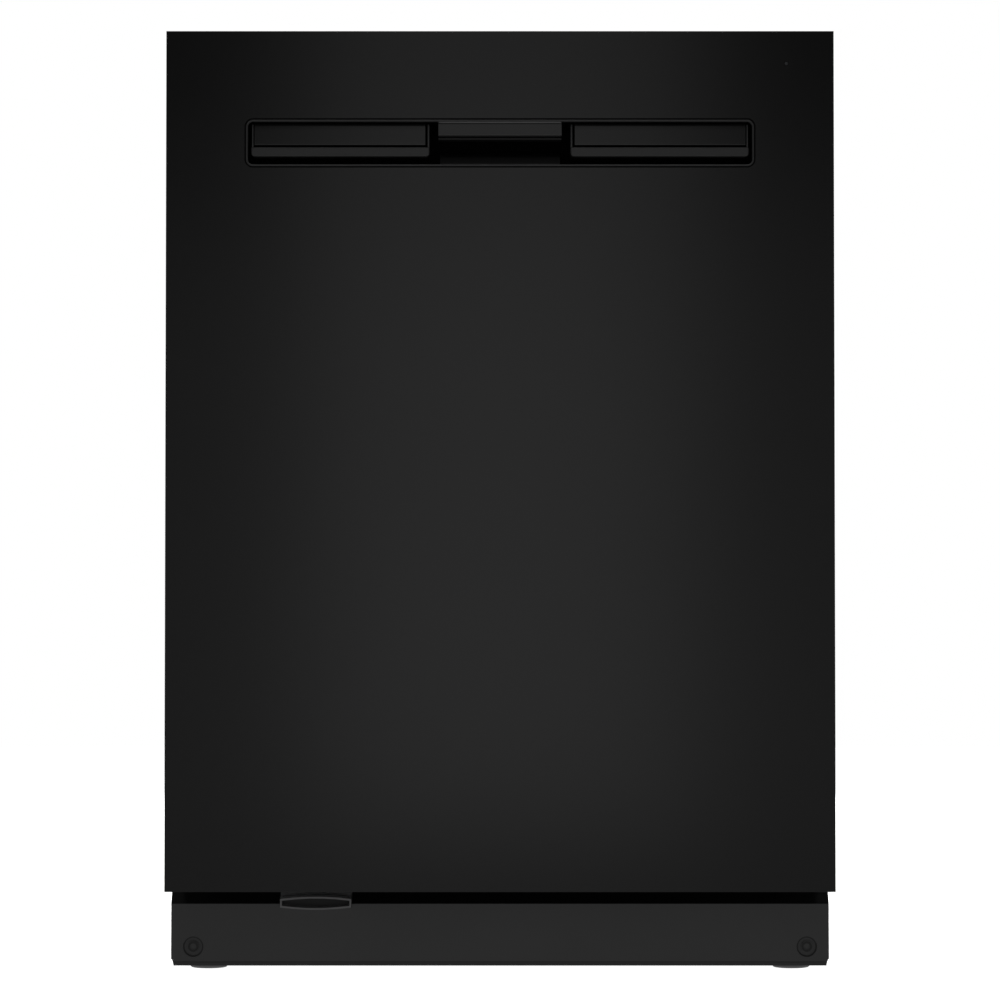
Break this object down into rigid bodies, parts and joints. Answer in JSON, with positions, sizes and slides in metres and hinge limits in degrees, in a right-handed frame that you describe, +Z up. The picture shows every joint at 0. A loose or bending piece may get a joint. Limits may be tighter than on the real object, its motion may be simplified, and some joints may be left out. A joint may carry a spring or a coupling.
{
  "type": "built-in dishwasher",
  "caption": "Built-in dishwasher: drop-down black door with a recessed grip, top push buttons, stainless tub, sliding wire racks, spray arms, toe panel and screw-down feet.",
  "frame": {"origin": "on the floor, under the centre of the machine's bounding box, door closed and feet screwed in", "axes": "+Z up, +X to the right as seen from in front, +Y towards the back of the machine; the door faces -Y"},
  "size_m": [0.606, 0.622, 0.86],
  "materials": {
    "door_paint": "satin gloss black powder coat",
    "pocket_plastic": "fine grained black",
    "panel_plastic": "gloss black",
    "lens": "clear",
    "stainless": "satin stainless",
    "heater_steel": "dull sheath",
    "toe_paint": "satin black",
    "spout_plastic": "satin black",
    "zinc": "zinc plated",
    "button_plastic": "dark grey",
    "grey_plastic": "smooth grey",
    "pale_plastic": "smooth pale grey",
    "foot_plastic": "light grey nylon",
    "dark_plastic": "dark grey",
    "rubber": "matt",
    "felt": "fibre blanket",
    "rack_vinyl": "vinyl coated wire"
  },
  "bodies": {
    "cabinet": {"tub": "stainless", "tub_gasket": "rubber", "base_frame": "dark_plastic", "sound_blanket": "felt", "toe_panel": "toe_paint", "toe_screw_left": "toe_paint", "toe_screw_right": "toe_paint", "drip_spout": "spout_plastic", "latch_strike": "zinc", "counter_bracket_left": "zinc", "counter_bracket_right": "zinc", "hinge_bracket_left": "zinc", "hinge_bracket_right": "zinc", "door_spring_left": "zinc", "door_spring_right": "zinc", "sump": "dark_plastic", "filter_plate": "stainless", "heating_element": "heater_steel", "feed_tube": "pale_plastic", "circulation_pump": "dark_plastic", "drain_pump": "dark_plastic", "inlet_valve": "pale_plastic", "track_rollers_left": "pale_plastic", "track_rollers_right": "pale_plastic"},
    "door": {"door_panel": "door_paint", "pocket_handle": "pocket_plastic", "status_lens": "lens", "door_liner": "stainless", "control_panel": "panel_plastic", "dispenser_body": "grey_plastic", "door_bottom_seal": "rubber", "hinge_arm_left": "zinc", "hinge_arm_right": "zinc"},
    "upper_rack": {"upper_rack": "rack_vinyl", "rack_track_left": "stainless", "rack_track_right": "stainless", "spray_manifold": "grey_plastic"},
    "cycle_button": {"cycle_button": "button_plastic"},
    "option_button": {"option_button": "button_plastic"},
    "delay_button": {"delay_button": "button_plastic"},
    "cancel_button": {"cancel_button": "button_plastic"},
    "start_button": {"start_button": "button_plastic"},
    "latch_hook": {"latch_hook": "zinc"},
    "detergent_lid": {"detergent_lid": "pale_plastic"},
    "rinse_aid_cap": {"rinse_aid_cap": "dark_plastic"},
    "front_foot_left": {"front_foot_left": "foot_plastic"},
    "front_foot_right": {"front_foot_right": "foot_plastic"},
    "rear_foot_left": {"rear_foot_left": "foot_plastic"},
    "rear_foot_right": {"rear_foot_right": "foot_plastic"},
    "filter_cylinder": {"filter_cylinder": "grey_plastic"},
    "overfill_float": {"overfill_float": "pale_plastic"},
    "lower_spray_arm": {"lower_spray_arm": "grey_plastic"},
    "upper_spray_arm": {"upper_spray_arm": "grey_plastic"},
    "lower_rack": {"lower_rack": "rack_vinyl"},
    "front_wheel_left": {"front_wheel_left": "grey_plastic"},
    "front_wheel_right": {"front_wheel_right": "grey_plastic"},
    "rear_wheel_left": {"rear_wheel_left": "grey_plastic"},
    "rear_wheel_right": {"rear_wheel_right": "grey_plastic"},
    "silverware_basket": {"silverware_basket": "grey_plastic"},
    "middle_spray_arm": {"middle_spray_arm": "grey_plastic"}
  },
  "joints": [
    {"name": "door_hinge", "type": "hinge", "parent": "cabinet", "child": "door", "pos_m": [0, -0.262, 0.1], "axis": [1, 0, 0], "range_deg": [0, 90], "stiffness_Nm_per_rad": 22},
    {"name": "cycle_button_press", "type": "slide", "parent": "door", "child": "cycle_button", "axis": [0, 0, -1], "range_m": [0, 0.001], "stiffness_N_per_m": 1200, "springref_m": -0.0002},
    {"name": "option_button_press", "type": "slide", "parent": "door", "child": "option_button", "axis": [0, 0, -1], "range_m": [0, 0.001], "stiffness_N_per_m": 1200, "springref_m": -0.0002},
    {"name": "delay_button_press", "type": "slide", "parent": "door", "child": "delay_button", "axis": [0, 0, -1], "range_m": [0, 0.001], "stiffness_N_per_m": 1200, "springref_m": -0.0002},
    {"name": "cancel_button_press", "type": "slide", "parent": "door", "child": "cancel_button", "axis": [0, 0, -1], "range_m": [0, 0.001], "stiffness_N_per_m": 1200, "springref_m": -0.0002},
    {"name": "start_button_press", "type": "slide", "parent": "door", "child": "start_button", "axis": [0, 0, -1], "range_m": [0, 0.001], "stiffness_N_per_m": 1200, "springref_m": -0.0002},
    {"name": "latch_hook_swing", "type": "hinge", "parent": "door", "child": "latch_hook", "pos_m": [0, -0.288, 0.842], "axis": [-1, 0, 0], "range_deg": [0, 20], "stiffness_Nm_per_rad": 0.5, "springref_deg": -2.86},
    {"name": "detergent_lid_slide", "type": "slide", "parent": "door", "child": "detergent_lid", "axis": [0, 0, -1], "range_m": [0, 0.055]},
    {"name": "rinse_cap_turn", "type": "hinge", "parent": "door", "child": "rinse_aid_cap", "pos_m": [0.048, -0.24, 0.52], "axis": [0, 1, 0], "range_deg": [0, 90]},
    {"name": "front_foot_left_adjust", "type": "slide", "parent": "cabinet", "child": "front_foot_left", "axis": [0, 0, -1], "range_m": [0, 0.019]},
    {"name": "front_foot_right_adjust", "type": "slide", "parent": "cabinet", "child": "front_foot_right", "axis": [0, 0, -1], "range_m": [0, 0.019]},
    {"name": "rear_foot_left_adjust", "type": "slide", "parent": "cabinet", "child": "rear_foot_left", "axis": [0, 0, -1], "range_m": [0, 0.019]},
    {"name": "rear_foot_right_adjust", "type": "slide", "parent": "cabinet", "child": "rear_foot_right", "axis": [0, 0, -1], "range_m": [0, 0.019]},
    {"name": "filter_turn", "type": "hinge", "parent": "cabinet", "child": "filter_cylinder", "pos_m": [0.039, 0.059, 0.08], "axis": [0, 0, 1], "range_deg": [0, 90]},
    {"name": "float_rise", "type": "slide", "parent": "cabinet", "child": "overfill_float", "axis": [0, 0, 1], "range_m": [0, 0.012]},
    {"name": "lower_arm_spin", "type": "hinge", "parent": "cabinet", "child": "lower_spray_arm", "pos_m": [0, 0.02, 0.131], "axis": [0, 0, 1], "continuous": true},
    {"name": "upper_arm_spin", "type": "hinge", "parent": "cabinet", "child": "upper_spray_arm", "pos_m": [0, 0.02, 0.794], "axis": [0, 0, 1], "continuous": true},
    {"name": "lower_rack_slide", "type": "slide", "parent": "cabinet", "child": "lower_rack", "axis": [0, -1, 0], "range_m": [0, 0.15]},
    {"name": "upper_rack_slide", "type": "slide", "parent": "cabinet", "child": "upper_rack", "axis": [0, -1, 0], "range_m": [0, 0.37]},
    {"name": "middle_arm_spin", "type": "hinge", "parent": "upper_rack", "child": "middle_spray_arm", "pos_m": [0, 0.01, 0.4075], "axis": [0, 0, 1], "continuous": true},
    {"name": "silverware_basket_lift", "type": "slide", "parent": "lower_rack", "child": "silverware_basket", "axis": [0, 0, 1], "range_m": [0, 0.095]},
    {"name": "front_wheel_left_roll", "type": "hinge", "parent": "lower_rack", "child": "front_wheel_left", "pos_m": [-0.2665, -0.15, 0.139], "axis": [1, 0, 0], "continuous": true},
    {"name": "rear_wheel_left_roll", "type": "hinge", "parent": "lower_rack", "child": "rear_wheel_left", "pos_m": [-0.2665, 0.2, 0.139], "axis": [1, 0, 0], "continuous": true},
    {"name": "front_wheel_right_roll", "type": "hinge", "parent": "lower_rack", "child": "front_wheel_right", "pos_m": [0.2665, -0.15, 0.139], "axis": [1, 0, 0], "continuous": true},
    {"name": "rear_wheel_right_roll", "type": "hinge", "parent": "lower_rack", "child": "rear_wheel_right", "pos_m": [0.2665, 0.2, 0.139], "axis": [1, 0, 0], "continuous": true}
  ],
  "couplings": [
    {"joint": "lower_rack_slide", "follows": "door_hinge", "m_per_rad": 0.095},
    {"joint": "upper_rack_slide", "follows": "door_hinge", "m_per_rad": 0.235}
  ]
}
